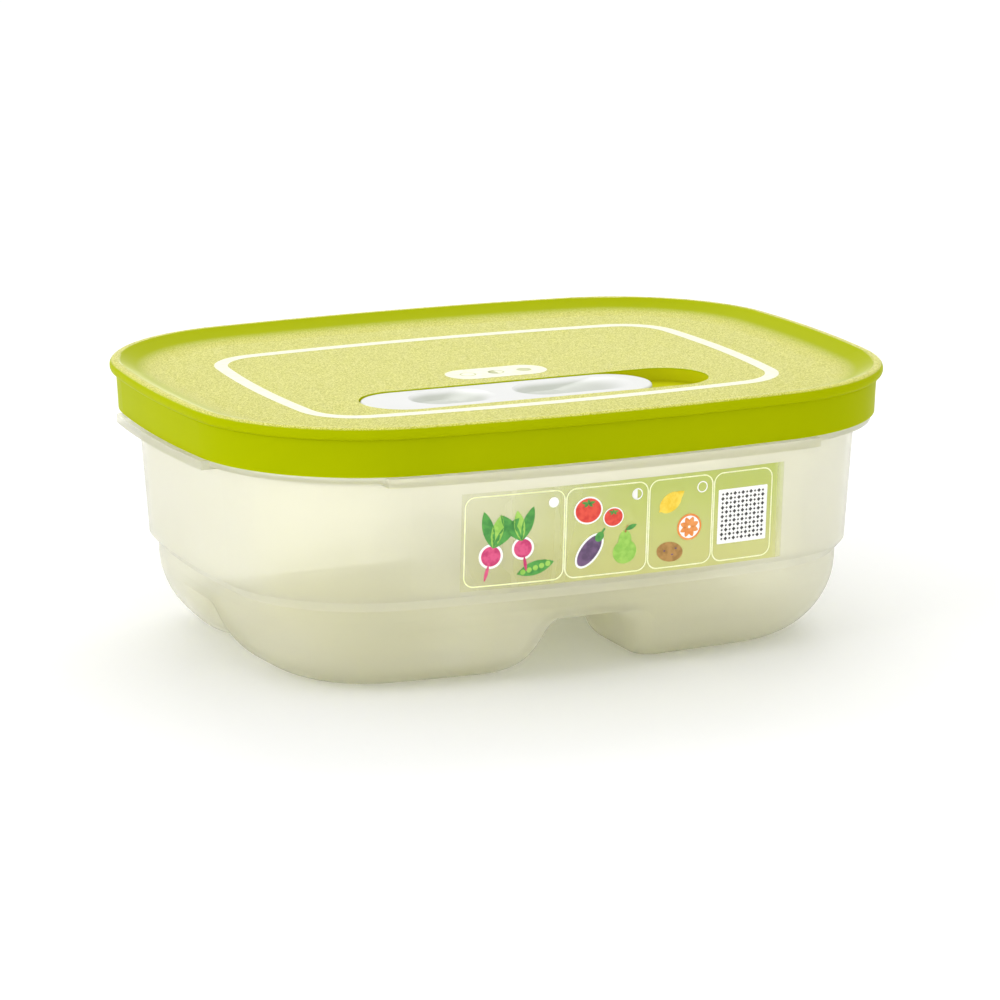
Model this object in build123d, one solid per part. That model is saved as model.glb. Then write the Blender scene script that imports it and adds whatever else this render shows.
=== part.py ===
"""Produce keeper: a translucent container with a soft press-on lid and a sliding vent.

Millimetres. X runs along the length, -Y is the labelled front, +Z is up.
The origin is on the resting plane, under the middle of the keeper.
Every plan outline is the same bowed rectangle, drawn at some inset from the lid's edge.
"""
import os
from math import atan2, cos, hypot, pi, radians, sin, sqrt, tan

from build123d import *

os.makedirs("parts", exist_ok=True)

# Overall size, and the bowed plan outline of the lid's edge
LENGTH = 193.0
WIDTH = 151.0
HEIGHT = 72.6
LONG_SIDE_RADIUS = 520.0
SHORT_SIDE_RADIUS = 310.0
CORNER_RADIUS = 48.3

# Lid edge and dished top
LID_WALL = 1.8
SKIRT_BOTTOM = 59.9
SKIRT_INSET_BOTTOM = 2.1
SKIRT_INSET_TOP = 1.6
BEAD_HEIGHT = 3.2
BEAD_RADIUS = 1.5
CREST_WIDTH = 1.0
CREST_RADIUS = 1.6
DISH_DEPTH = 3.1
DISH_SLOPE_WIDTH = 6.2
COVE_RADIUS = 24.0
RIM_CLEARANCE = 0.3

# Container wall, ledge and rim lip
SHELL_WALL = 1.7
WALL_INSET_TOP = 7.4
WALL_INSET_STEP = 9.6
STEP_TOP = 26.4
STEP_BOTTOM = 23.6
LEDGE_TOP = 59.6
CORNER_LEDGE_INSET = 3.1
CORNER_LEDGE_THICKNESS = 1.5
TAB_INSET = 0.9
TAB_THICKNESS = 2.3
LONG_TAB_HALF = 59.4
SHORT_TAB_HALF = 32.0
LIP_INSET = 4.2
LIP_THICKNESS = 1.4
LIP_TOP = 69.0
FLARE_BOTTOM = 56.2
FLARE_TOP = 61.2

# Lower body, and the two crossing channels that leave four feet
LOWER_RADIUS = 22.0
LOWER_INSET = 12.0
CHANNEL_HEIGHT = 17.8
CHANNEL_SLOPE = radians(70)
LONG_SIDE_ARCH = {"crown_half": 4.5, "foot_radius": 12.0, "crown_radius": 7.0}
SHORT_SIDE_ARCH = {"crown_half": 2.5, "foot_radius": 7.0, "crown_radius": 5.0}
ARCH_CORNER_RADIUS = 4.0
ARCH_CORNER_GROWTH = 0.12
ARCH_CORNER_WALL_SHARE = 0.6
INNER_CORNER_RADIUS = 10.0
INNER_CORNER_GROWTH = 0.75
FOOT_SECTIONS = 11

# Vent well in the lid
WELL_CENTRE = (-0.7, -27.6)
WELL_LENGTH = 96.4
WELL_WIDTH = 23.7
WELL_DEPTH = 3.6
WELL_WALL = 2.4
WELL_FLOOR = 1.6
CUP_EDGE_RADIUS = 1.2
CUP_OVERLAP = 0.5
GROOVE_REACH = 1.1
GROOVE_HEIGHT = 1.4
VENT_HOLE_RADIUS = 2.5
VENT_RING_WIDTH = 1.2
VENT_RING_HEIGHT = 0.25
VENT_RING_OVERLAP = 0.5
VENT_HOLE_OFFSETS = (4.8, 13.8)

# Slide button; each finger well has its start and end from the button's middle, and its ramp length
SLIDE_CLEARANCE = 0.3
SLIDE_TRAVEL = 16.0
SLIDER_FLOOR_GAP = 0.5
SLIDER_DROP = 0.2
SLIDER_EDGE_RADIUS = 0.7
RAIL_REACH = 0.8
RAIL_HEIGHT = 0.8
RAIL_LENGTH = 36.0
RAIL_END_GAP = 0.5
RAIL_LIFT = 0.5
FINGER_WELL_WIDTH = 16.0
FINGER_WELL_DEPTH = 1.9
FINGER_WELL_SLOPE = 2.8
FINGER_WELL_FLOOR_RADIUS = 0.6
FINGER_WELLS = ((-27.0, -4.0, 8.0), (2.0, 35.0, 16.0))

# Storage-guide film on the front wall
FILM_SPAN = (-38.1, 51.8)
FILM_BOTTOM = 27.8
FILM_TOP = 53.0
FILM_THICKNESS = 0.15

PANEL_TOP = HEIGHT - DISH_DEPTH
PANEL_BOTTOM = PANEL_TOP - LID_WALL
WELL_FLOOR_TOP = PANEL_TOP - WELL_DEPTH
SLIDER_LENGTH = WELL_LENGTH - SLIDE_TRAVEL - 2 * SLIDE_CLEARANCE
SLIDER_WIDTH = WELL_WIDTH - 2 * SLIDE_CLEARANCE


def bearing(centre, point):
    return atan2(point[1] - centre[1], point[0] - centre[0])


def reach(centre, radius, angle):
    """Point on a circle."""
    return (centre[0] + radius * cos(angle), centre[1] + radius * sin(angle))


def arc(centre, radius, start, end, z):
    """Arc in plan from one angle to another, as an edge at height z."""
    angles = (start, (start + end) / 2, end)
    return ThreePointArc(*[(*reach(centre, radius, angle), z) for angle in angles])


def meeting_point(centre_a, radius_a, centre_b, radius_b):
    """Where two circles cross, on the side with positive X and Y."""
    dx = centre_b[0] - centre_a[0]
    dy = centre_b[1] - centre_a[1]
    gap = hypot(dx, dy)
    along = (radius_a**2 - radius_b**2 + gap**2) / (2 * gap)
    across = sqrt(radius_a**2 - along**2)
    x = centre_a[0] + (along * dx - across * dy) / gap
    y = centre_a[1] + (along * dy + across * dx) / gap
    return (x, y)


# Arc centres of the outline in the quarter with positive X and Y, and where its arcs touch
LONG_CENTRE = (0.0, WIDTH / 2 - LONG_SIDE_RADIUS)
SHORT_CENTRE = (LENGTH / 2 - SHORT_SIDE_RADIUS, 0.0)
CORNER_CENTRE = meeting_point(
    SHORT_CENTRE,
    SHORT_SIDE_RADIUS - CORNER_RADIUS,
    LONG_CENTRE,
    LONG_SIDE_RADIUS - CORNER_RADIUS,
)
LONG_TOUCH = bearing(LONG_CENTRE, CORNER_CENTRE)
SHORT_TOUCH = bearing(SHORT_CENTRE, CORNER_CENTRE)


def outline(inset, z):
    """Closed plan outline at this inset from the lid's edge, as a wire at height z."""
    cx, cy = CORNER_CENTRE
    corner = CORNER_RADIUS - inset
    long = LONG_SIDE_RADIUS - inset
    short = SHORT_SIDE_RADIUS - inset
    stretches = [
        ((cx, cy), corner, SHORT_TOUCH, LONG_TOUCH),
        (LONG_CENTRE, long, LONG_TOUCH, pi - LONG_TOUCH),
        ((-cx, cy), corner, pi - LONG_TOUCH, pi - SHORT_TOUCH),
        ((-SHORT_CENTRE[0], 0), short, pi - SHORT_TOUCH, pi + SHORT_TOUCH),
        ((-cx, -cy), corner, pi + SHORT_TOUCH, pi + LONG_TOUCH),
        ((0, -LONG_CENTRE[1]), long, pi + LONG_TOUCH, 2 * pi - LONG_TOUCH),
        ((cx, -cy), corner, 2 * pi - LONG_TOUCH, 2 * pi - SHORT_TOUCH),
        (SHORT_CENTRE, short, -SHORT_TOUCH, SHORT_TOUCH),
    ]
    return Wire([arc(*stretch, z) for stretch in stretches])


def slab(inset, bottom, top):
    """Upright block with the plan outline."""
    return drafted(inset, bottom, inset, top)


def drafted(inset_bottom, bottom, inset_top, top):
    """Block whose outline changes evenly from one inset to another."""
    return Solid.make_loft([outline(inset_bottom, bottom), outline(inset_top, top)], True)


def stack(levels):
    """Drafted blocks one on another, through a list of (height, inset)."""
    blocks = [drafted(s0, z0, s1, z1) for (z0, s0), (z1, s1) in zip(levels, levels[1:])]
    return blocks[0].fuse(*blocks[1:])


def block(x_span, y_span, z_span):
    size = [high - low for low, high in (x_span, y_span, z_span)]
    low_corner = (x_span[0], y_span[0], z_span[0])
    return Pos(*low_corner) * Box(*size, align=(Align.MIN, Align.MIN, Align.MIN))


def stadium(length, width, bottom, top, centre_x, centre_y):
    """Upright block with two straight sides and two round ends."""
    profile = Plane((centre_x, centre_y, bottom)) * SlotOverall(length, width)
    return extrude(profile, top - bottom, dir=(0, 0, 1))


def edges_at(shape, z, tolerance=0.02):
    """Level edges of a shape at height z."""
    found = []
    for edge in shape.edges():
        box = edge.bounding_box()
        if abs(box.min.Z - z) < tolerance and abs(box.max.Z - z) < tolerance:
            found.append(edge)
    return found


def lower_inset(z, wall):
    """Inset of the round lower body at height z, wall mm inside its outer surface."""
    floor_inset = LOWER_INSET + LOWER_RADIUS
    radius = LOWER_RADIUS - wall
    return floor_inset - sqrt(max(radius**2 - (LOWER_RADIUS - z) ** 2, 0))


def flank(arch, z, wall):
    """Distance from a channel's middle to its flank at height z, wall mm inside the skin.

    The flank is a foot arc, a straight slope and a crown arc, each touching the next.
    """
    foot = arch["foot_radius"]
    crown = arch["crown_radius"]
    rise_of_arcs = (foot + crown) * (1 - cos(CHANNEL_SLOPE))
    slope_length = (CHANNEL_HEIGHT - rise_of_arcs) / sin(CHANNEL_SLOPE)
    foot_start = (
        arch["crown_half"]
        + (foot + crown) * sin(CHANNEL_SLOPE)
        + slope_length * cos(CHANNEL_SLOPE)
    )
    foot_end_z = foot - (foot - wall) * cos(CHANNEL_SLOPE)
    crown_centre_z = CHANNEL_HEIGHT - crown
    crown_end_z = crown_centre_z + (crown + wall) * cos(CHANNEL_SLOPE)
    if z <= foot_end_z:
        return foot_start - sqrt(max((foot - wall) ** 2 - (foot - z) ** 2, 0))
    if z >= crown_end_z:
        return arch["crown_half"] + sqrt(max((crown + wall) ** 2 - (z - crown_centre_z) ** 2, 0))
    foot_end = foot_start - (foot - wall) * sin(CHANNEL_SLOPE)
    return foot_end - (z - foot_end_z) / tan(CHANNEL_SLOPE)


def foot_section(z, wall):
    """One level cut through a foot: two bowed outer sides, two straight inner ones."""
    inset = lower_inset(z, wall)
    x0 = flank(LONG_SIDE_ARCH, z, wall)
    y0 = flank(SHORT_SIDE_ARCH, z, wall)
    floor_inset = LOWER_INSET + LOWER_RADIUS
    rise = floor_inset - inset
    arch_round = ARCH_CORNER_RADIUS + ARCH_CORNER_GROWTH * rise - ARCH_CORNER_WALL_SHARE * wall
    inner_round = INNER_CORNER_RADIUS + INNER_CORNER_GROWTH * rise - wall
    long = LONG_SIDE_RADIUS - inset
    short = SHORT_SIDE_RADIUS - inset
    long_round_x = x0 + arch_round
    long_round_y = LONG_CENTRE[1] + sqrt((long - arch_round) ** 2 - long_round_x**2)
    short_round_y = y0 + arch_round
    short_round_x = SHORT_CENTRE[0] + sqrt((short - arch_round) ** 2 - short_round_y**2)
    long_round = (long_round_x, long_round_y)
    short_round = (short_round_x, short_round_y)
    inner_centre = (x0 + inner_round, y0 + inner_round)
    long_turn = bearing(LONG_CENTRE, long_round)
    short_turn = bearing(SHORT_CENTRE, short_round)
    edges = [
        arc(inner_centre, inner_round, 3 * pi / 2, pi, z),
        Line((x0, inner_centre[1], z), (x0, long_round_y, z)),
        arc(long_round, arch_round, pi, long_turn, z),
        arc(LONG_CENTRE, long, long_turn, LONG_TOUCH, z),
        arc(CORNER_CENTRE, CORNER_RADIUS - inset, LONG_TOUCH, SHORT_TOUCH, z),
        arc(SHORT_CENTRE, short, SHORT_TOUCH, short_turn, z),
        arc(short_round, arch_round, short_turn, -pi / 2, z),
        Line((short_round_x, y0, z), (inner_centre[0], y0, z)),
    ]
    return Wire(edges)


def foot(wall):
    """One foot lobe in the quarter with positive X and Y, wall mm inside the skin."""
    sections = []
    for k in range(FOOT_SECTIONS):
        share = (1 - cos(pi * k / (FOOT_SECTIONS - 1))) / 2
        sections.append(foot_section(wall + CHANNEL_HEIGHT * share, wall))
    return Solid.make_loft(sections, False)


def four_feet(wall):
    one = foot(wall)
    pair = [one, one.mirror(Plane.YZ)]
    return pair + [lobe.mirror(Plane.XZ) for lobe in pair]


def step_levels(wall):
    """(height, inset) through the lower body, the stacking step and the upper wall."""
    run = LOWER_INSET - WALL_INSET_STEP
    rise = STEP_TOP - STEP_BOTTOM
    slope = hypot(run, rise)
    low = STEP_BOTTOM + wall * (slope - rise) / run
    high = STEP_TOP + wall * (slope - rise) / run
    start = CHANNEL_HEIGHT + wall
    middle = (start + low) / 2
    return [
        (start, lower_inset(start, wall)),
        (middle, lower_inset(middle, wall)),
        (low, LOWER_INSET + wall),
        (high, WALL_INSET_STEP + wall),
    ]


def make_base_shell():
    """Container: four feet, stepped wall, ledge with grip tabs, and an upright rim lip."""
    outer_levels = step_levels(0) + [(LEDGE_TOP - CORNER_LEDGE_THICKNESS, WALL_INSET_TOP)]
    body = stack(outer_levels).fuse(*four_feet(0))
    ledge = slab(CORNER_LEDGE_INSET, LEDGE_TOP - CORNER_LEDGE_THICKNESS, LEDGE_TOP)
    lip = slab(LIP_INSET, LEDGE_TOP, LIP_TOP)
    body = body.fuse(ledge, lip)
    for tab in make_tabs():
        body = body.fuse(tab)

    inner_lip_inset = LIP_INSET + LIP_THICKNESS
    wall_share = (FLARE_BOTTOM - STEP_TOP) / (LEDGE_TOP - CORNER_LEDGE_THICKNESS - STEP_TOP)
    flare_inset = WALL_INSET_STEP + (WALL_INSET_TOP - WALL_INSET_STEP) * wall_share + SHELL_WALL
    inner_levels = step_levels(SHELL_WALL) + [
        (FLARE_BOTTOM, flare_inset),
        (FLARE_TOP, inner_lip_inset),
        (LIP_TOP + 1, inner_lip_inset),
    ]
    cavity = stack(inner_levels).fuse(*four_feet(SHELL_WALL))
    return body.cut(cavity)


def make_tabs():
    """Wider grip tabs of the ledge, along the middle of each side."""
    bottom = LEDGE_TOP - TAB_THICKNESS
    plate = slab(TAB_INSET, bottom, LEDGE_TOP).cut(slab(WALL_INSET_TOP, bottom, LEDGE_TOP))
    tabs = []
    long_window = block((-LONG_TAB_HALF, LONG_TAB_HALF), (-WIDTH, WIDTH), (bottom, LEDGE_TOP))
    short_window = block((-LENGTH, LENGTH), (-SHORT_TAB_HALF, SHORT_TAB_HALF), (bottom, LEDGE_TOP))
    for window in (long_window, short_window):
        tabs += list(plate.intersect(window).solids())
    return tabs


def make_lid_shell():
    """Lid: rolled bead, drafted skirt, dished top with the vent well, and the rim channel."""
    bead_bottom = HEIGHT - BEAD_HEIGHT
    bead = slab(0, bead_bottom, HEIGHT)
    bead = bead.fillet(BEAD_RADIUS, edges_at(bead, HEIGHT) + edges_at(bead, bead_bottom))
    skirt = drafted(SKIRT_INSET_BOTTOM, SKIRT_BOTTOM, SKIRT_INSET_TOP, bead_bottom + BEAD_RADIUS / 2)
    lid = bead.fuse(skirt)

    crest_inset = BEAD_RADIUS + CREST_WIDTH
    dish_foot = crest_inset + DISH_SLOPE_WIDTH
    lid = lid.cut(drafted(dish_foot, PANEL_TOP, crest_inset, HEIGHT))
    lid = lid.fillet(COVE_RADIUS, edges_at(lid, PANEL_TOP))
    crest_edges = [e for e in edges_at(lid, HEIGHT) if inset_of(e) > BEAD_RADIUS + CREST_WIDTH / 2]
    lid = lid.fillet(CREST_RADIUS, crest_edges)

    channel_outer = LIP_INSET - RIM_CLEARANCE
    channel_inner = LIP_INSET + LIP_THICKNESS + RIM_CLEARANCE
    channel_top = LIP_TOP + RIM_CLEARANCE
    lid = lid.cut(slab(channel_outer, SKIRT_BOTTOM, PANEL_BOTTOM))
    rim_channel = slab(channel_outer, PANEL_BOTTOM, channel_top)
    lid = lid.cut(rim_channel.cut(slab(channel_inner, PANEL_BOTTOM, channel_top)))
    return cut_vent_well(lid)


def inset_of(edge):
    """Inset of an edge that crosses the front middle or lies nearest to it."""
    box = edge.bounding_box()
    farthest_x = max(abs(box.min.X), abs(box.max.X))
    farthest_y = max(abs(box.min.Y), abs(box.max.Y))
    return min(LENGTH / 2 - farthest_x, WIDTH / 2 - farthest_y)


def cut_vent_well(lid):
    """Add the cup of the vent well under the panel, then open it with its grooves and holes."""
    x, y = WELL_CENTRE
    cup_bottom = WELL_FLOOR_TOP - WELL_FLOOR
    cup_length = WELL_LENGTH + 2 * WELL_WALL
    cup = stadium(cup_length, WELL_WIDTH + 2 * WELL_WALL, cup_bottom, PANEL_TOP - CUP_OVERLAP, x, y)
    cup = cup.fillet(CUP_EDGE_RADIUS, edges_at(cup, cup_bottom))
    lid = lid.fuse(cup)
    lid = lid.cut(stadium(WELL_LENGTH, WELL_WIDTH, WELL_FLOOR_TOP, HEIGHT, x, y))
    rail_start, rail_end = rail_span()
    groove_reach = WELL_WIDTH / 2 + GROOVE_REACH
    groove_bottom = rail_bottom() - (GROOVE_HEIGHT - RAIL_HEIGHT) / 2
    lid = lid.cut(
        block(
            (rail_start - RAIL_END_GAP, rail_end + SLIDE_TRAVEL + RAIL_END_GAP),
            (y - groove_reach, y + groove_reach),
            (groove_bottom, groove_bottom + GROOVE_HEIGHT),
        )
    )
    for offset in VENT_HOLE_OFFSETS:
        hole_x = x - WELL_LENGTH / 2 + offset
        ring = Pos(hole_x, y, WELL_FLOOR_TOP - VENT_RING_OVERLAP) * Cylinder(
            VENT_HOLE_RADIUS + VENT_RING_WIDTH,
            VENT_RING_HEIGHT + VENT_RING_OVERLAP,
            align=(Align.CENTER, Align.CENTER, Align.MIN),
        )
        hole = Pos(hole_x, y, cup_bottom - 1) * Cylinder(
            VENT_HOLE_RADIUS, 2 * WELL_DEPTH, align=(Align.CENTER, Align.CENTER, Align.MIN)
        )
        lid = lid.fuse(ring).cut(hole)
    return lid


def rail_bottom():
    """Underside height of the slide button's side rails."""
    return WELL_FLOOR_TOP + SLIDER_FLOOR_GAP + RAIL_LIFT


def rail_span():
    """Ends of the closed slide button's side rails, which lie in its left part."""
    start = WELL_CENTRE[0] - (WELL_LENGTH - WELL_WIDTH) / 2 + RAIL_END_GAP
    return (start, start + RAIL_LENGTH)


def make_vent_slider():
    """Slide button at the left end of its well: rounded top edge, two finger wells, side rails."""
    bottom = WELL_FLOOR_TOP + SLIDER_FLOOR_GAP
    top = PANEL_TOP - SLIDER_DROP
    x = WELL_CENTRE[0] - SLIDE_TRAVEL / 2
    y = WELL_CENTRE[1]
    button = stadium(SLIDER_LENGTH, SLIDER_WIDTH, bottom, top, x, y)
    button = button.fillet(SLIDER_EDGE_RADIUS, edges_at(button, top))
    rail_reach = SLIDER_WIDTH / 2 + SLIDE_CLEARANCE + RAIL_REACH
    rails = block(
        rail_span(),
        (y - rail_reach, y + rail_reach),
        (rail_bottom(), rail_bottom() + RAIL_HEIGHT),
    )
    button = button.fuse(rails)
    for start, end, ramp in FINGER_WELLS:
        button = button.cut(finger_well(x + start, x + end, ramp, y, top))
    return button


def finger_well(start, end, ramp, y, top):
    """Scoop for a fingertip, as a cutter: steep at its left, with a long ramp up to the right."""
    mouth = Plane(((start + end) / 2, y, top)) * SlotOverall(end - start, FINGER_WELL_WIDTH)
    floor_start = start + FINGER_WELL_SLOPE
    floor_end = end - ramp
    floor_width = FINGER_WELL_WIDTH - 2 * FINGER_WELL_SLOPE
    floor_plane = Plane(((floor_start + floor_end) / 2, y, top - FINGER_WELL_DEPTH))
    floor = floor_plane * SlotOverall(floor_end - floor_start, floor_width)
    scoop = Solid.make_loft([floor.wire(), mouth.wire()], True)
    return scoop.fillet(FINGER_WELL_FLOOR_RADIUS, edges_at(scoop, top - FINGER_WELL_DEPTH))


def make_guide_label():
    """Thin printed film that follows the front wall."""
    ledge_bottom = LEDGE_TOP - CORNER_LEDGE_THICKNESS

    def wall_inset(z):
        share = (z - STEP_TOP) / (ledge_bottom - STEP_TOP)
        return WALL_INSET_STEP + (WALL_INSET_TOP - WALL_INSET_STEP) * share

    bottom_inset = wall_inset(FILM_BOTTOM)
    top_inset = wall_inset(FILM_TOP)
    inside = drafted(bottom_inset, FILM_BOTTOM, top_inset, FILM_TOP)
    outside = drafted(
        bottom_inset - FILM_THICKNESS, FILM_BOTTOM, top_inset - FILM_THICKNESS, FILM_TOP
    )
    window = block(FILM_SPAN, (-WIDTH, 0), (FILM_BOTTOM, FILM_TOP))
    return outside.cut(inside).intersect(window)


def save(node, shape):
    solids = shape.solids()
    whole = solids[0] if len(solids) == 1 else Compound(solids)
    export_step(whole, f"parts/{node}.step")


save("base_shell", make_base_shell())
save("lid_shell", make_lid_shell())
save("vent_slider", make_vent_slider())
save("guide_label", make_guide_label())
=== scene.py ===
"""Studio scene of a produce keeper: frosted container, green lid, white vent slide, printed film.

Metres, in the frame of the CAD model: X along the length, -Y is the labelled front, +Z is up.
"""

from math import atan2, cos, hypot, pi, radians, sin, sqrt

import bmesh
import bpy
from mathutils import Matrix, Vector


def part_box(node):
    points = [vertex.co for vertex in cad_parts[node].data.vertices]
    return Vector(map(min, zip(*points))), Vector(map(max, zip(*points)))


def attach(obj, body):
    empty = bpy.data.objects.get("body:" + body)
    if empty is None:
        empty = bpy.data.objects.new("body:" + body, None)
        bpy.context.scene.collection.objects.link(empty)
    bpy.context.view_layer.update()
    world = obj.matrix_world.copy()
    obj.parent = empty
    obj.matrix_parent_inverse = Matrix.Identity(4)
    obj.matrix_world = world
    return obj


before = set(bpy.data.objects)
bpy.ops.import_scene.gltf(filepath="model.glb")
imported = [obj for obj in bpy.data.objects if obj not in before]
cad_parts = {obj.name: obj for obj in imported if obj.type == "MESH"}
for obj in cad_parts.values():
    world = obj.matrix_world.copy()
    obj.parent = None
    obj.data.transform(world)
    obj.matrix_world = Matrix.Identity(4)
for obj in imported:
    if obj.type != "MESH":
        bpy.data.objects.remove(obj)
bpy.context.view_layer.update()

MM = 0.001

# Plan outline of the lid's edge: four bowed sides and four round corners
LONG_SIDE_RADIUS = 520 * MM
SHORT_SIDE_RADIUS = 310 * MM

lid_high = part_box("lid_shell")[1]
slider_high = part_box("vent_slider")[1]
film_low, film_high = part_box("guide_label")

# Lid panel and what is printed on it
PANEL_TOP = lid_high.z - 3.1 * MM
INK_LIFT = 0.03 * MM
FRAME_LINE_HALF_X = 66.4 * MM
FRAME_LINE_HALF_Y = 45.6 * MM
FRAME_LINE_CORNER = 14.3 * MM
FRAME_LINE_WIDTH = 3.6 * MM
LEGEND_CENTRE = Vector((-1.5 * MM, -4.0 * MM))
LEGEND_SIZE = Vector((28 * MM, 12.5 * MM))
LEGEND_END_ROUND = 0.98
LEGEND_MARK_RADIUS = 2.0 * MM
LEGEND_MARK_PITCH = 8 * MM
LEGEND_MARK_LINE = 0.45 * MM

# Where the lid's finish, its painted sheen and highlight, and its painted light change, each as
# the values
# at which a smooth step starts and ends: height over the vent well, outward lean of the crest,
# upward share of a face's normal, glancing view for the sheen, and the area round the vent well
ABOVE_WELL = (PANEL_TOP - 0.5 * MM, PANEL_TOP - 0.2 * MM)
CREST_LEAN = (4 * MM, 12 * MM)
CREST_RISE = (0.62, 0.86)
PANEL_RISE = (0.945, 1.0)
SHEEN_GLANCE = (0.42, 0.76)
WELL_AREA_X = (62 * MM, 52 * MM)
WELL_AREA_Y = (54 * MM, 46 * MM)

# Heights over which the slide button gets thinner in its finger wells, and its colour takes a
# painted shade
FINGER_WELL_HEIGHTS = (slider_high.z - 0.05 * MM, slider_high.z - 1.1 * MM)

# Front wall that carries the film, as height and inset from the lid's edge
WALL_FOOT = Vector((26.4 * MM, 9.6 * MM))
WALL_HEAD = Vector((58.1 * MM, 7.4 * MM))

# Film: its thickness, how far it fades in from the left and out at the right, and its cover
FILM_THICKNESS = 0.15 * MM
FILM_FADE_IN = 55 * MM
FILM_FADE_OUT = 3.5 * MM
FILM_COVER_LEFT = 0.12
FILM_COVER_GAIN = 0.46
FILM_EDGE_SHARE = 0.3
FILM_EDGE_GAIN = 0.7

# Camera, fitted to the photo: bearing, height, distance and picture centre
CAMERA_AZIMUTH = radians(-23.7)
CAMERA_ELEVATION = radians(12.97)
CAMERA_ROLL = radians(-0.14)
CAMERA_DISTANCE = 1.189
CAMERA_TARGET = Vector((0, 0, 33.6 * MM))
CAMERA_LENS = 162
CAMERA_SENSOR = 36
CAMERA_SHIFT = (0.0046, 0.0021)
CAMERA_CLIP = (0.05, 50)

# Stage: floor, world as seen and as light, and softboxes as name, place, size and watts
FLOOR_SIZE = 12
FLOOR_DROP = 0.02 * MM
FLOOR_WHITE = 0.9
FLOOR_GLOW = 0.12
WORLD_SEEN = 1.05
WORLD_LIGHT = 0.84
SOFTBOX_AIM = Vector((0, 0, 30 * MM))
SOFTBOXES = (
    ("key_back", (0.45, 0.9, 1.1), (1.2, 0.7), 6),
    ("fill_left", (-1.1, -0.25, 0.5), (0.8, 0.6), 4.5),
    ("fill_front", (-0.3, -1.3, 0.3), (1.4, 0.5), 4),
)


# Materials

class Nodes:
    """Short way to write a material's node tree."""

    def __init__(self, name):
        self.material = bpy.data.materials.new(name)
        self.material.use_nodes = True
        self.tree = self.material.node_tree
        self.tree.nodes.clear()
        self.output = self.tree.nodes.new("ShaderNodeOutputMaterial")

    def add(self, kind, inputs=None, **settings):
        """New shader node, with its inputs linked or set."""
        node = self.tree.nodes.new("ShaderNode" + kind)
        for key, value in settings.items():
            setattr(node, key, value)
        for key, value in (inputs or {}).items():
            self.set(node.inputs[key], value)
        return node

    def set(self, socket, value):
        """Link an input to another node's output, or give it a plain value."""
        if isinstance(value, bpy.types.NodeSocket):
            self.tree.links.new(value, socket)
        else:
            socket.default_value = value

    def math(self, operation, *values):
        """Result of one arithmetic operation."""
        node = self.tree.nodes.new("ShaderNodeMath")
        node.operation = operation
        for socket, value in zip(node.inputs, values):
            self.set(socket, value)
        return node.outputs[0]

    def mix(self, factor, a, b):
        """Colour a where factor is 0, and b where it is 1."""
        node = self.add("Mix", data_type="RGBA")
        self.set(node.inputs[0], factor)
        self.set(node.inputs[6], a)
        self.set(node.inputs[7], b)
        return node.outputs[2]

    def step(self, value, start, end):
        """Smooth change from 0 at start to 1 at end; start may be the higher of the two."""
        node = self.add("MapRange", {"Value": value, "From Min": start, "From Max": end})
        node.interpolation_type = "SMOOTHSTEP"
        return node.outputs[0]

    def noise(self, grain, detail):
        """Noise with grains of this size in metres, in the object's own coordinates."""
        place = self.add("TexCoord").outputs["Object"]
        inputs = {"Vector": place, "Scale": 1 / grain, "Detail": detail}
        return self.add("TexNoise", inputs).outputs[0]

    def bump(self, height, strength, distance, below=None):
        """Normal that is roughened by a height, on top of another one if it is given."""
        inputs = {"Height": height, "Strength": strength, "Distance": distance}
        if below is not None:
            inputs["Normal"] = below
        return self.add("Bump", inputs).outputs[0]

    def finish(self, shader):
        """The material, with this shader as its surface."""
        self.set(self.output.inputs["Surface"], shader.outputs[0])
        return self.material


def colour(red, green, blue):
    """Linear colour of an 8-bit screen colour."""
    def linear(value):
        share = value / 255
        return share / 12.92 if share <= 0.04045 else ((share + 0.055) / 1.055) ** 2.4
    return (linear(red), linear(green), linear(blue), 1)


def frosted_shell():
    """Translucent moulded plastic: milky, slightly cloudy body with a frosted skin."""
    n = Nodes("frosted_shell")
    clouds = n.noise(26 * MM, 3)
    tint = n.mix(clouds, colour(254, 252, 234), colour(252, 250, 223))
    skin = n.noise(0.35 * MM, 2)
    waviness = n.noise(14 * MM, 1)
    rough = n.math("ADD", n.math("MULTIPLY", clouds, 0.10), 0.28)
    normal = n.bump(waviness, 0.25, 0.4 * MM, n.bump(skin, 0.12, 0.05 * MM))
    shader = n.add("BsdfPrincipled", {
        "Base Color": tint,
        "Roughness": rough,
        "IOR": 1.3,
        "Alpha": 0.54,
        "Transmission Weight": 0.72,
        "Normal": normal,
    })
    return n.finish(shader)


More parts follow.
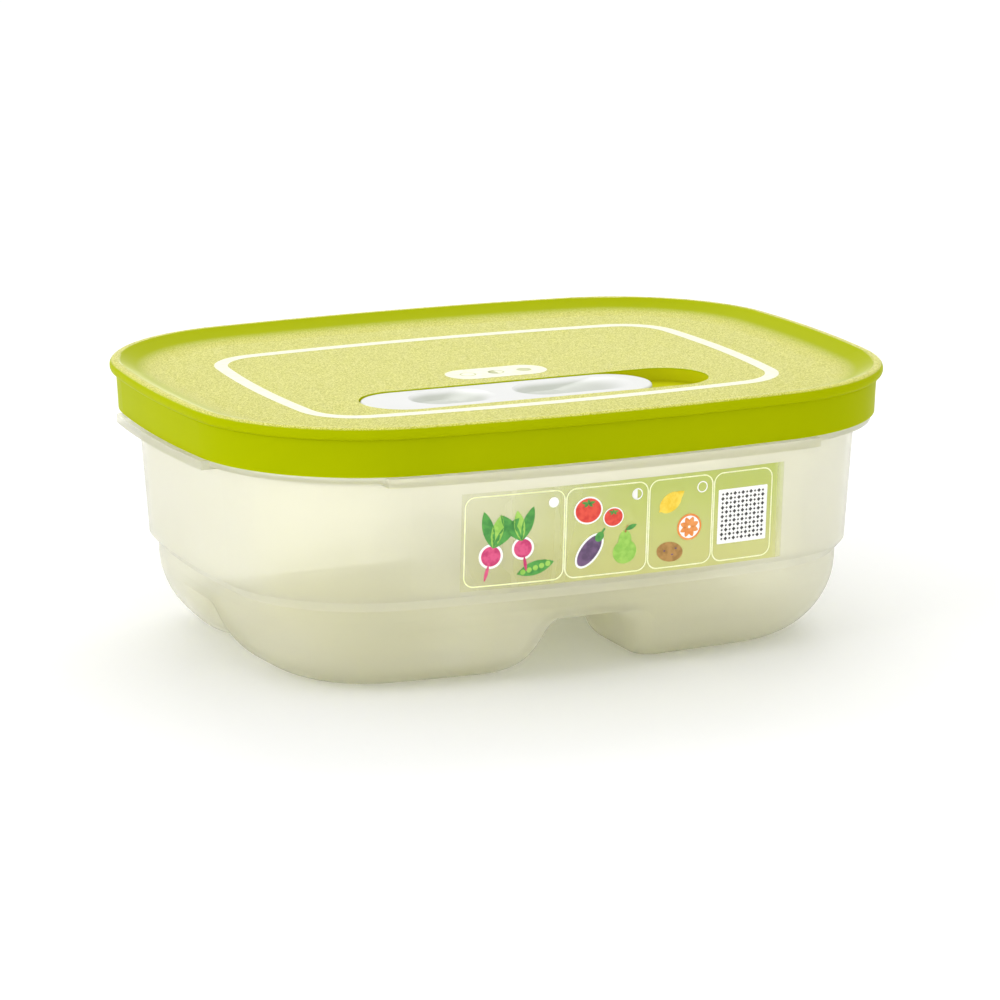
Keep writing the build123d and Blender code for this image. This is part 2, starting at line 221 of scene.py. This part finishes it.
def lid_plastic():
    """Soft translucent lime plastic: smooth skirt and well, and a fine grain on top whose pale
    colour is partly the grain's own and partly a painted sheen.

    The grain and its painted sheen cover the flat panel and the outer side of the crest, where the
    pale is also a painted highlight, and fade up the cove. Round the vent well, the plastic below
    the panel's top is painted lighter, as painted light.
    """
    n = Nodes("lid_plastic")
    coordinates = n.add("TexCoord")
    place = n.add("SeparateXYZ", {"Vector": coordinates.outputs["Object"]})
    facing = n.add("SeparateXYZ", {"Vector": coordinates.outputs["Normal"]})
    above_well = n.step(place.outputs[2], *ABOVE_WELL)
    # The grain's mask also carries a painted sheen over the flat panel and a painted highlight on
    # the crest's outer side
    outward_x = n.math("MULTIPLY", place.outputs[0], facing.outputs[0])
    outward_y = n.math("MULTIPLY", place.outputs[1], facing.outputs[1])
    outward = n.step(n.math("ADD", outward_x, outward_y), *CREST_LEAN)
    on_crest = n.math("MULTIPLY", outward, n.step(facing.outputs[2], *CREST_RISE))
    level = n.math("MAXIMUM", n.step(facing.outputs[2], *PANEL_RISE), on_crest)
    panel = n.math("MULTIPLY", above_well, level)
    grained_face = n.math("MULTIPLY", above_well, n.step(facing.outputs[2], *CREST_RISE))
    glancing = n.step(n.add("LayerWeight", {"Blend": 0.5}).outputs["Facing"], *SHEEN_GLANCE)
    sheen = n.math("MULTIPLY", grained_face, glancing)

    # Painted light: below the panel's top round the vent well, the plastic is painted lighter,
    # standing in for light coming through it
    inside_x = n.step(n.math("ABSOLUTE", place.outputs[0]), *WELL_AREA_X)
    inside_y = n.step(n.math("ABSOLUTE", place.outputs[1]), *WELL_AREA_Y)
    below = n.math("SUBTRACT", 1.0, above_well)
    painted_light_well_floor = n.math("MULTIPLY", below, n.math("MULTIPLY", inside_x, inside_y))

    grain = n.noise(0.34 * MM, 2)
    speckle = n.step(grain, 0.30, 0.68)
    broad = n.noise(30 * MM, 2)
    smooth_colour = n.mix(broad, colour(160, 171, 0), colour(167, 176, 0))
    # painted light on the vent well's floor
    smooth_colour = n.mix(painted_light_well_floor, smooth_colour, colour(190, 192, 14))
    # Grain speckle from darker to pale: the pale is partly the grain's own colour and partly a
    # painted sheen
    grain_and_painted_sheen_colour = n.mix(speckle, colour(168, 167, 28), colour(227, 224, 134))
    base = n.mix(panel, smooth_colour, grain_and_painted_sheen_colour)
    rough = n.math("ADD", 0.36, n.math("MULTIPLY", panel, 0.12))
    fine_skin = n.bump(n.noise(0.3 * MM, 2), 0.05, 0.04 * MM)
    grain_depth = n.math("MULTIPLY", panel, grain)
    normal = n.bump(grain_depth, 0.35, 0.10 * MM, fine_skin)
    shader = n.add("BsdfPrincipled", {
        "Base Color": base,
        "Roughness": rough,
        "IOR": 1.47,
        "Specular IOR Level": n.math("ADD", 0.01, n.math("MULTIPLY", panel, 0.12)),
        "Specular Tint": (1.0, 1.0, 0.6, 1),
        "Subsurface Weight": 0.7,
        "Subsurface Radius": (1.0, 1.0, 0.12),
        "Subsurface Scale": 1.2 * MM,
        "Sheen Weight": sheen,
        "Sheen Roughness": 0.18,
        "Sheen Tint": (1.0, 0.99, 0.74, 1),
        "Normal": normal,
    })
    return n.finish(shader)


def slider_plastic():
    """Smooth white moulded plastic with a painted shade below its top, in the finger wells and
    down its sides: greyer, with a touch of the lid's green through the thin plastic.
    """
    n = Nodes("slider_plastic")
    broad = n.noise(12 * MM, 2)
    height = n.add("SeparateXYZ", {"Vector": n.add("TexCoord").outputs["Object"]}).outputs[2]
    # Painted shade: greyer and a little greener below the button's top, in the finger wells and on
    # its sides
    depth = n.step(height, *FINGER_WELL_HEIGHTS)
    unshaded_colour = n.mix(broad, colour(228, 229, 226), colour(234, 235, 232))
    painted_shade_colour = n.mix(broad, colour(188, 192, 181), colour(198, 202, 191))
    tint = n.mix(depth, unshaded_colour, painted_shade_colour)
    rough = n.math("ADD", 0.26, n.math("MULTIPLY", broad, 0.08))
    normal = n.bump(n.noise(0.25 * MM, 2), 0.04, 0.03 * MM)
    shader = n.add("BsdfPrincipled", {
        "Base Color": tint,
        "Roughness": rough,
        "IOR": 1.46,
        "Subsurface Weight": 0.15,
        "Subsurface Radius": (1.5, 1.5, 1.5),
        "Subsurface Scale": 1.0 * MM,
        "Normal": normal,
    })
    return n.finish(shader)


def label_film():
    """Printed film: see-through yellow-green that fades out at its left end and right edge."""
    n = Nodes("label_film")
    place = n.add("SeparateXYZ", {"Vector": n.add("TexCoord").outputs["Object"]})
    along = n.step(place.outputs[0], film_low.x, film_low.x + FILM_FADE_IN)
    up = n.step(place.outputs[2], film_low.z, film_high.z)
    left_to_right = n.mix(along, colour(206, 208, 124), colour(200, 214, 88))
    tint = n.mix(up, colour(224, 224, 140), left_to_right)
    cover = n.math("ADD", FILM_COVER_LEFT, n.math("MULTIPLY", along, FILM_COVER_GAIN))
    right_edge = n.step(place.outputs[0], film_high.x, film_high.x - FILM_FADE_OUT)
    edge_share = n.math("ADD", FILM_EDGE_SHARE, n.math("MULTIPLY", right_edge, FILM_EDGE_GAIN))
    cover = n.math("MULTIPLY", cover, edge_share)
    dots = n.noise(0.3 * MM, 1)
    shader = n.add("BsdfPrincipled", {
        "Base Color": tint,
        "Roughness": n.math("ADD", 0.32, n.math("MULTIPLY", dots, 0.08)),
        "IOR": 1.45,
        "Alpha": cover,
    })
    return n.finish(shader)


def ink(name, tone, shade):
    """Printed ink with a fine uneven tone between two colours."""
    n = Nodes(name)
    tint = n.mix(n.step(n.noise(1.6 * MM, 3), 0.35, 0.65), tone, shade)
    normal = n.bump(n.noise(0.2 * MM, 1), 0.05, 0.01 * MM)
    shader = n.add("BsdfPrincipled", {
        "Base Color": tint,
        "Roughness": 0.42,
        "Normal": normal,
    })
    return n.finish(shader)


# Flat shapes, as lists of points in the plane they are printed on

def ellipse(x, y, half_x, half_y, turn=0.0, count=32):
    """Ellipse round a centre, turned anticlockwise."""
    points = []
    for k in range(count):
        angle = 2 * pi * k / count
        across = half_x * cos(angle)
        up = half_y * sin(angle)
        point_x = x + across * cos(turn) - up * sin(turn)
        point_y = y + across * sin(turn) + up * cos(turn)
        points.append((point_x, point_y))
    return points


def arc(x, y, radius, start, end, count):
    """Arc round a centre, with both of its ends."""
    angles = [start + (end - start) * k / count for k in range(count + 1)]
    return [(x + radius * cos(angle), y + radius * sin(angle)) for angle in angles]


def half_disc(x, y, radius, count=16):
    """Left half of a disc."""
    return arc(x, y, radius, pi / 2, 3 * pi / 2, count)


def leaf(root, tip, half_width, count=10):
    """Pointed leaf from its root to its tip."""
    along = Vector(tip) - Vector(root)
    across = Vector((-along.y, along.x)).normalized() * half_width
    right = []
    left = []
    for k in range(count + 1):
        share = k / count
        width = sin(pi * share) ** 0.8
        middle = Vector(root) + along * share
        right.append(tuple(middle + across * width))
        left.append(tuple(middle - across * width))
    return right + left[-2:0:-1]


def bar(start, end, width):
    """Straight stroke of even width."""
    along = Vector(end) - Vector(start)
    across = Vector((-along.y, along.x)).normalized() * width / 2
    left = [Vector(start) + across, Vector(start) - across]
    right = [Vector(end) - across, Vector(end) + across]
    return [tuple(corner) for corner in left + right]


def rounded_box(low, high, radius, count=7):
    """Rectangle with round corners."""
    centres = (
        (high[0] - radius, high[1] - radius, 0),
        (low[0] + radius, high[1] - radius, pi / 2),
        (low[0] + radius, low[1] + radius, pi),
        (high[0] - radius, low[1] + radius, 3 * pi / 2),
    )
    points = []
    for x, y, start in centres:
        points += arc(x, y, radius, start, start + pi / 2, count)
    return points


def bowed_box(half_x, half_y, corner, count=24):
    """Closed outline whose long and short sides bow outwards like the lid's."""
    long_centre = half_y - LONG_SIDE_RADIUS
    short_centre = half_x - SHORT_SIDE_RADIUS
    reach_a = SHORT_SIDE_RADIUS - corner
    reach_b = LONG_SIDE_RADIUS - corner
    gap = hypot(short_centre, long_centre)
    along = (reach_a**2 - reach_b**2 + gap**2) / (2 * gap)
    across = sqrt(reach_a**2 - along**2)
    dx = -short_centre / gap
    dy = long_centre / gap
    cx = short_centre + along * dx - across * dy
    cy = along * dy + across * dx
    long_touch = atan2(cy - long_centre, cx)
    short_touch = atan2(cy, cx - short_centre)
    short_side = arc(short_centre, 0, SHORT_SIDE_RADIUS, 0, short_touch, count)
    round_corner = arc(cx, cy, corner, short_touch, long_touch, count)
    long_side = arc(0, long_centre, LONG_SIDE_RADIUS, long_touch, pi / 2, count)
    quarter = short_side[:-1] + round_corner[:-1] + long_side
    mirrored = [(-x, y) for x, y in reversed(quarter[:-1])]
    top = quarter + mirrored
    bottom = [(x, -y) for x, y in reversed(top[1:-1])]
    return top + bottom


def shrink(points, distance):
    """The same closed outline, moved inwards by a distance."""
    moved = []
    for k, point in enumerate(points):
        before = Vector(points[k - 1])
        after = Vector(points[(k + 1) % len(points)])
        along = (after - before).normalized()
        moved.append((point[0] - along.y * distance, point[1] + along.x * distance))
    return moved


# Printing: flat shapes laid on a surface, as thin coats of ink

def on_panel(x, y, lift):
    """Point on the lid's flat panel."""
    return (x, y, PANEL_TOP + INK_LIFT + lift)


def on_film(x, z, lift):
    """Point on the outer face of the film, which follows the bowed and drafted front wall."""
    share = (z - WALL_FOOT.x) / (WALL_HEAD.x - WALL_FOOT.x)
    inset = WALL_FOOT.y + (WALL_HEAD.y - WALL_FOOT.y) * share - FILM_THICKNESS - INK_LIFT - lift
    centre = lid_high.y - LONG_SIDE_RADIUS
    return (x, -centre - sqrt((LONG_SIDE_RADIUS - inset) ** 2 - x**2), z)


class Print:
    """One printed piece, built up from filled shapes and outlines in several inks."""

    COAT = 0.012 * MM
    LONGEST_EDGE = 3 * MM
    FILL_ROUNDS = 5
    LINE_ROUNDS = 4

    def __init__(self, name, surface):
        self.name = name
        self.surface = surface
        self.mesh = bmesh.new()
        self.inks = []

    def _slot(self, material):
        if material not in self.inks:
            self.inks.append(material)
        return self.inks.index(material)

    def fill(self, points, material, coat=0):
        """Filled outline on this coat, cut finely enough to follow a curved surface."""
        patch = bmesh.new()
        patch.faces.new([patch.verts.new((x, y, 0)) for x, y in points])
        bmesh.ops.triangulate(patch, faces=patch.faces)
        self._refine(patch, self.FILL_ROUNDS)
        self._lay(patch, material, coat)

    def line(self, points, width, material, coat=0):
        """Closed line of even width, centred on the outline."""
        outer = shrink(points, -width / 2)
        inner = shrink(points, width / 2)
        patch = bmesh.new()
        outer_verts = [patch.verts.new((x, y, 0)) for x, y in outer]
        inner_verts = [patch.verts.new((x, y, 0)) for x, y in inner]
        for k in range(len(points)):
            after = (k + 1) % len(points)
            face = (outer_verts[k], outer_verts[after], inner_verts[after], inner_verts[k])
            patch.faces.new(face)
        self._refine(patch, self.LINE_ROUNDS)
        self._lay(patch, material, coat)

    def _refine(self, patch, rounds):
        """Halve the edges that are too long for a curved surface, a few times over."""
        for _ in range(rounds):
            long_edges = [e for e in patch.edges if e.calc_length() > self.LONGEST_EDGE]
            if not long_edges:
                break
            bmesh.ops.subdivide_edges(patch, edges=long_edges, cuts=1)
            bmesh.ops.triangulate(patch, faces=patch.faces)

    def _lay(self, patch, material, coat):
        """Lift a flat patch onto the printed surface and add it to the piece."""
        slot = self._slot(material)
        verts = {}
        for vert in patch.verts:
            verts[vert] = self.mesh.verts.new(self.surface(vert.co.x, vert.co.y, coat * self.COAT))
        for face in patch.faces:
            laid = self.mesh.faces.new([verts[vert] for vert in face.verts])
            laid.material_index = slot
            laid.smooth = True
        patch.free()

    def done(self, body):
        """Turn the coats into one piece that rides on a body."""
        data = bpy.data.meshes.new(self.name)
        bmesh.ops.recalc_face_normals(self.mesh, faces=self.mesh.faces)
        self.mesh.to_mesh(data)
        self.mesh.free()
        for material in self.inks:
            data.materials.append(material)
        piece = bpy.data.objects.new(self.name, data)
        bpy.context.scene.collection.objects.link(piece)
        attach(piece, body)


def print_lid():
    """Cream frame line round the panel, and an oval legend beside the vent."""
    cream = ink("ink_cream", colour(248, 248, 214), colour(251, 251, 226))
    faint = ink("ink_legend", colour(196, 200, 140), colour(206, 208, 152))
    art = Print("lid_print", on_panel)
    frame_line = bowed_box(FRAME_LINE_HALF_X, FRAME_LINE_HALF_Y, FRAME_LINE_CORNER)
    art.line(frame_line, FRAME_LINE_WIDTH, cream)
    x, y = LEGEND_CENTRE
    half = LEGEND_SIZE / 2
    low = (x - half.x, y - half.y)
    high = (x + half.x, y + half.y)
    art.fill(rounded_box(low, high, half.y * LEGEND_END_ROUND, 12), cream)
    mark = LEGEND_MARK_RADIUS
    art.line(ellipse(x - LEGEND_MARK_PITCH, y, mark, mark), LEGEND_MARK_LINE, faint, 1)
    art.line(ellipse(x, y, mark, mark), LEGEND_MARK_LINE, faint, 1)
    art.fill(half_disc(x, y, mark), faint, 1)
    art.fill(ellipse(x + LEGEND_MARK_PITCH, y, mark, mark), faint, 1)
    art.done("lid")


# Printed storage guide: a row of boxes, each with a vent mark and simple produce

GUIDE_BOTTOM = 28.8 * MM
GUIDE_TOP = 52.0 * MM
GUIDE_LEFT = -37.2 * MM
GUIDE_WIDTHS = (26.5 * MM, 22.5 * MM, 18.0 * MM, 17.0 * MM)
GUIDE_GAP = 0.5 * MM
GUIDE_CORNER = 2.6 * MM
GUIDE_LINE = 0.35 * MM
VENT_MARK_RADIUS = 1.35 * MM
VENT_MARK_LINE = 0.3 * MM
VENT_MARK_INSET = 3.0 * MM
LATTICE_HALF = 7.2 * MM
LATTICE_CELLS = 11


def guide_inks():
    """Every ink of the storage guide, by name."""
    return {
        "line": ink("ink_line", colour(240, 246, 190), colour(250, 252, 214)),
        "white": ink("ink_white", colour(250, 250, 246), colour(255, 255, 252)),
        "leaf": ink("ink_leaf", colour(62, 140, 60), colour(84, 164, 70)),
        "pale_leaf": ink("ink_pale_leaf", colour(140, 196, 76), colour(164, 210, 92)),
        "pink": ink("ink_pink", colour(196, 48, 104), colour(222, 84, 132)),
        "plum": ink("ink_plum", colour(88, 66, 100), colour(116, 86, 124)),
        "red": ink("ink_red", colour(214, 52, 42), colour(232, 82, 62)),
        "yellow": ink("ink_yellow", colour(240, 200, 40), colour(250, 220, 84)),
        "brown": ink("ink_brown", colour(158, 116, 56), colour(184, 140, 76)),
        "orange": ink("ink_orange", colour(232, 132, 50), colour(242, 158, 84)),
        "dark": ink("ink_dark", colour(44, 44, 44), colour(62, 62, 60)),
    }


def draw_radish(art, inks, x, z, size, lean):
    """Round root with a tail and three leaves."""
    up = Vector((sin(lean), cos(lean)))
    side = Vector((up.y, -up.x))
    root = Vector((x, z))
    art.fill(ellipse(x, z, size * 0.62, size * 0.62), inks["white"], 1)
    art.fill(ellipse(x, z, size * 0.5, size * 0.5), inks["pink"], 2)
    tail = leaf(tuple(root - up * size * 0.4), tuple(root - up * size * 1.3), size * 0.09)
    art.fill(tail, inks["pink"], 2)
    for spread, tone in ((-0.55, "leaf"), (0.0, "pale_leaf"), (0.55, "leaf")):
        base = root + up * size * 0.4
        tip = base + (up + side * spread) * size * 1.7
        art.fill(leaf(tuple(base), tuple(tip), size * 0.30), inks[tone], 3)


def draw_pod(art, inks, x, z, size):
    """Open pea pod with its peas in a row."""
    left = (x - size, z - size * 0.25)
    right = (x + size, z + size * 0.25)
    art.fill(leaf(left, right, size * 0.36), inks["leaf"], 1)
    for k in range(5):
        share = (k + 1) / 6
        pea_x = left[0] + (right[0] - left[0]) * share
        pea_z = left[1] + (right[1] - left[1]) * share
        art.fill(ellipse(pea_x, pea_z, size * 0.14, size * 0.14), inks["pale_leaf"], 2)


def draw_tomato(art, inks, x, z, size):
    """Round fruit with a green star on top."""
    art.fill(ellipse(x, z, size * 1.1, size), inks["white"], 1)
    art.fill(ellipse(x, z, size * 0.98, size * 0.88), inks["red"], 2)
    for k in range(5):
        angle = radians(90 + 72 * k)
        tip = (x + size * 0.55 * cos(angle), z + size * 0.5 + size * 0.3 * sin(angle))
        art.fill(leaf((x, z + size * 0.5), tip, size * 0.1), inks["leaf"], 3)


def draw_aubergine(art, inks, x, z, size):
    """Long plum-coloured fruit with a green cap."""
    turn = radians(52)
    top = (x + size * 0.95 * cos(turn), z + size * 0.95 * sin(turn))
    art.fill(ellipse(x, z, size * 1.12, size * 0.62, turn), inks["white"], 1)
    art.fill(ellipse(x, z, size, size * 0.5, turn), inks["plum"], 2)
    art.fill(ellipse(*top, size * 0.3, size * 0.24, turn), inks["leaf"], 3)
    art.fill(bar(top, (top[0] + size * 0.3, top[1] + size * 0.45), size * 0.12), inks["leaf"], 3)


def draw_pear(art, inks, x, z, size):
    """Green pear with a stalk and one leaf."""
    art.fill(ellipse(x, z, size * 0.72, size * 0.68), inks["pale_leaf"], 1)
    art.fill(ellipse(x, z + size * 0.62, size * 0.4, size * 0.6), inks["pale_leaf"], 2)
    stalk = bar((x, z + size * 1.1), (x + size * 0.15, z + size * 1.5), size * 0.12)
    art.fill(stalk, inks["brown"], 3)
    blade = leaf((x, z + size * 1.25), (x + size * 0.7, z + size * 1.5), size * 0.14)
    art.fill(blade, inks["leaf"], 3)


def draw_lemon(art, inks, x, z, size, turn):
    """Lemon with a pointed end."""
    tip = (x + size * 1.3 * cos(turn), z + size * 1.3 * sin(turn))
    heel = (x - size * 1.1 * cos(turn), z - size * 1.1 * sin(turn))
    art.fill(leaf(heel, tip, size * 0.5), inks["yellow"], 1)
    art.fill(ellipse(x, z, size * 0.95, size * 0.66, turn), inks["yellow"], 2)


def draw_orange_half(art, inks, x, z, size):
    """Cut citrus: rind, flesh and eight segments."""
    art.fill(ellipse(x, z, size, size), inks["orange"], 1)
    art.fill(ellipse(x, z, size * 0.84, size * 0.84), inks["white"], 2)
    for k in range(8):
        angle = 2 * pi * (k + 0.5) / 8
        near = (x + size * 0.08 * cos(angle), z + size * 0.08 * sin(angle))
        far = (x + size * 0.8 * cos(angle), z + size * 0.8 * sin(angle))
        art.fill(leaf(near, far, size * 0.2), inks["orange"], 3)


def draw_potato(art, inks, x, z, size):
    """Brown tuber with three dark eyes."""
    art.fill(ellipse(x, z, size, size * 0.68, radians(-12)), inks["brown"], 1)
    for dx, dz in ((-0.4, 0.1), (0.2, -0.2), (0.45, 0.2)):
        eye = ellipse(x + dx * size, z + dz * size, size * 0.09, size * 0.05, 0, 10)
        art.fill(eye, inks["plum"], 2)


def draw_lattice(art, inks, x, z, size):
    """White square with an even lattice of small dark diamonds."""
    square = rounded_box((x - size, z - size), (x + size, z + size), size * 0.04, 3)
    art.fill(square, inks["white"], 1)
    pitch = 2 * size * 0.9 / LATTICE_CELLS
    for row in range(LATTICE_CELLS):
        for column in range(LATTICE_CELLS):
            cx = x + (column - (LATTICE_CELLS - 1) / 2) * pitch
            cz = z + (row - (LATTICE_CELLS - 1) / 2) * pitch
            half = pitch * (0.46 if (row + column) % 2 else 0.3)
            diamond = [(cx + half, cz), (cx, cz + half), (cx - half, cz), (cx, cz - half)]
            art.fill(diamond, inks["dark"], 2)


# Produce in the guide: its drawing and box, millimetres from the box's left and above its middle,
# its size in millimetres, and its lean in degrees where it has one
GUIDE_ART = (
    (draw_radish, 0, 7.0, -4.0, 5.2, 14),
    (draw_radish, 0, 15.5, -2.6, 4.8, -10),
    (draw_pod, 0, 19.0, -8.0, 5.0),
    (draw_tomato, 1, 6.0, 5.6, 3.6),
    (draw_tomato, 1, 13.0, 3.2, 2.6),
    (draw_aubergine, 1, 6.6, -5.0, 4.6),
    (draw_pear, 1, 16.4, -6.2, 4.6),
    (draw_lemon, 2, 6.0, 5.4, 3.6, 35),
    (draw_orange_half, 2, 11.6, -1.6, 3.5),
    (draw_potato, 2, 6.2, -7.6, 3.8),
)


def print_guide():
    """Storage guide on the film, box by box from the left."""
    inks = guide_inks()
    art = Print("guide_print", on_film)
    lefts = []
    left = GUIDE_LEFT
    for width in GUIDE_WIDTHS:
        lefts.append(left)
        box = rounded_box((left, GUIDE_BOTTOM), (left + width, GUIDE_TOP), GUIDE_CORNER)
        art.line(box, GUIDE_LINE, inks["line"], 1)
        left += width + GUIDE_GAP
    middle = (GUIDE_BOTTOM + GUIDE_TOP) / 2
    mark = VENT_MARK_RADIUS
    mark_z = GUIDE_TOP - VENT_MARK_INSET
    marks = [x + width - VENT_MARK_INSET for x, width in zip(lefts, GUIDE_WIDTHS)]

    art.fill(ellipse(marks[0], mark_z, mark, mark), inks["white"], 2)
    art.line(ellipse(marks[1], mark_z, mark, mark), VENT_MARK_LINE, inks["white"], 2)
    art.fill(half_disc(marks[1], mark_z, mark), inks["white"], 2)
    art.line(ellipse(marks[2], mark_z, mark, mark), VENT_MARK_LINE, inks["white"], 2)

    for draw, box, x, z, size, *lean in GUIDE_ART:
        turn = [radians(angle) for angle in lean]
        draw(art, inks, lefts[box] + x * MM, middle + z * MM, size * MM, *turn)
    draw_lattice(art, inks, lefts[3] + GUIDE_WIDTHS[3] / 2, middle, LATTICE_HALF)
    art.done("base")


# Stage

def add_floor():
    """Plain white floor that runs out of sight and catches the soft shadow."""
    bpy.ops.mesh.primitive_plane_add(size=FLOOR_SIZE, location=(0, 0, -FLOOR_DROP))
    floor = bpy.context.object
    floor.name = "floor"
    n = Nodes("floor")
    diffuse = n.add("BsdfDiffuse", {"Color": (FLOOR_WHITE, FLOOR_WHITE, FLOOR_WHITE, 1)})
    glow = n.add("Emission", {"Color": (1, 1, 1, 1), "Strength": FLOOR_GLOW})
    path = n.add("LightPath")
    seen = n.math("MAXIMUM", path.outputs["Is Camera Ray"], path.outputs["Is Transmission Ray"])
    dark = n.add("Emission", {"Color": (0, 0, 0, 1), "Strength": 0.0})
    lift = n.add("MixShader", {0: seen, 1: dark.outputs[0], 2: glow.outputs[0]})
    surface = n.add("AddShader", {0: diffuse.outputs[0], 1: lift.outputs[0]})
    floor.data.materials.append(n.finish(surface))


def add_background(tree, strength):
    """White background node of this strength."""
    node = tree.nodes.new("ShaderNodeBackground")
    node.inputs["Strength"].default_value = strength
    node.inputs["Color"].default_value = (1, 1, 1, 1)
    return node.outputs[0]


def set_world():
    """White surroundings: brighter where the camera sees them than as light on the object."""
    world = bpy.data.worlds.new("studio")
    bpy.context.scene.world = world
    world.use_nodes = True
    tree = world.node_tree
    tree.nodes.clear()
    output = tree.nodes.new("ShaderNodeOutputWorld")
    path = tree.nodes.new("ShaderNodeLightPath")
    see_through = tree.nodes.new("ShaderNodeMath")
    see_through.operation = "MAXIMUM"
    mix = tree.nodes.new("ShaderNodeMixShader")
    tree.links.new(path.outputs["Is Camera Ray"], see_through.inputs[0])
    tree.links.new(path.outputs["Is Transmission Ray"], see_through.inputs[1])
    tree.links.new(see_through.outputs[0], mix.inputs[0])
    tree.links.new(add_background(tree, WORLD_LIGHT), mix.inputs[1])
    tree.links.new(add_background(tree, WORLD_SEEN), mix.inputs[2])
    tree.links.new(mix.outputs[0], output.inputs["Surface"])


def add_softbox(name, place, size, power):
    """Rectangular soft light that faces the keeper."""
    light = bpy.data.lights.new(name, "AREA")
    light.shape = "RECTANGLE"
    light.size, light.size_y = size
    light.energy = power
    softbox = bpy.data.objects.new(name, light)
    bpy.context.scene.collection.objects.link(softbox)
    softbox.location = place
    softbox.rotation_mode = "QUATERNION"
    softbox.rotation_quaternion = (SOFTBOX_AIM - Vector(place)).to_track_quat("-Z", "Y")


def add_camera():
    """Camera at the photo's viewing angle."""
    level_back = Vector((sin(CAMERA_AZIMUTH), -cos(CAMERA_AZIMUTH), 0))
    back = level_back * cos(CAMERA_ELEVATION) + Vector((0, 0, sin(CAMERA_ELEVATION)))
    level_right = Vector((cos(CAMERA_AZIMUTH), sin(CAMERA_AZIMUTH), 0))
    level_up = back.cross(level_right)
    right = cos(CAMERA_ROLL) * level_right + sin(CAMERA_ROLL) * level_up
    up = -sin(CAMERA_ROLL) * level_right + cos(CAMERA_ROLL) * level_up
    data = bpy.data.cameras.new("camera")
    data.sensor_width = CAMERA_SENSOR
    data.lens = CAMERA_LENS
    data.shift_x, data.shift_y = CAMERA_SHIFT
    data.clip_start, data.clip_end = CAMERA_CLIP
    camera = bpy.data.objects.new("camera", data)
    bpy.context.scene.collection.objects.link(camera)
    turn = Matrix((right, up, back)).transposed().to_4x4()
    camera.matrix_world = Matrix.Translation(CAMERA_TARGET + back * CAMERA_DISTANCE) @ turn
    bpy.context.scene.camera = camera


def dress(node, material):
    """Give a CAD node its finish."""
    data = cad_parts[node].data
    if not data.materials:
        data.materials.append(material)
    for k in range(len(data.materials)):
        data.materials[k] = material


add_camera()
set_world()
add_floor()
for softbox in SOFTBOXES:
    add_softbox(*softbox)
dress("base_shell", frosted_shell())
dress("lid_shell", lid_plastic())
dress("vent_slider", slider_plastic())
dress("guide_label", label_film())
print_lid()
print_guide()
bpy.context.scene.view_settings.view_transform = "Standard"
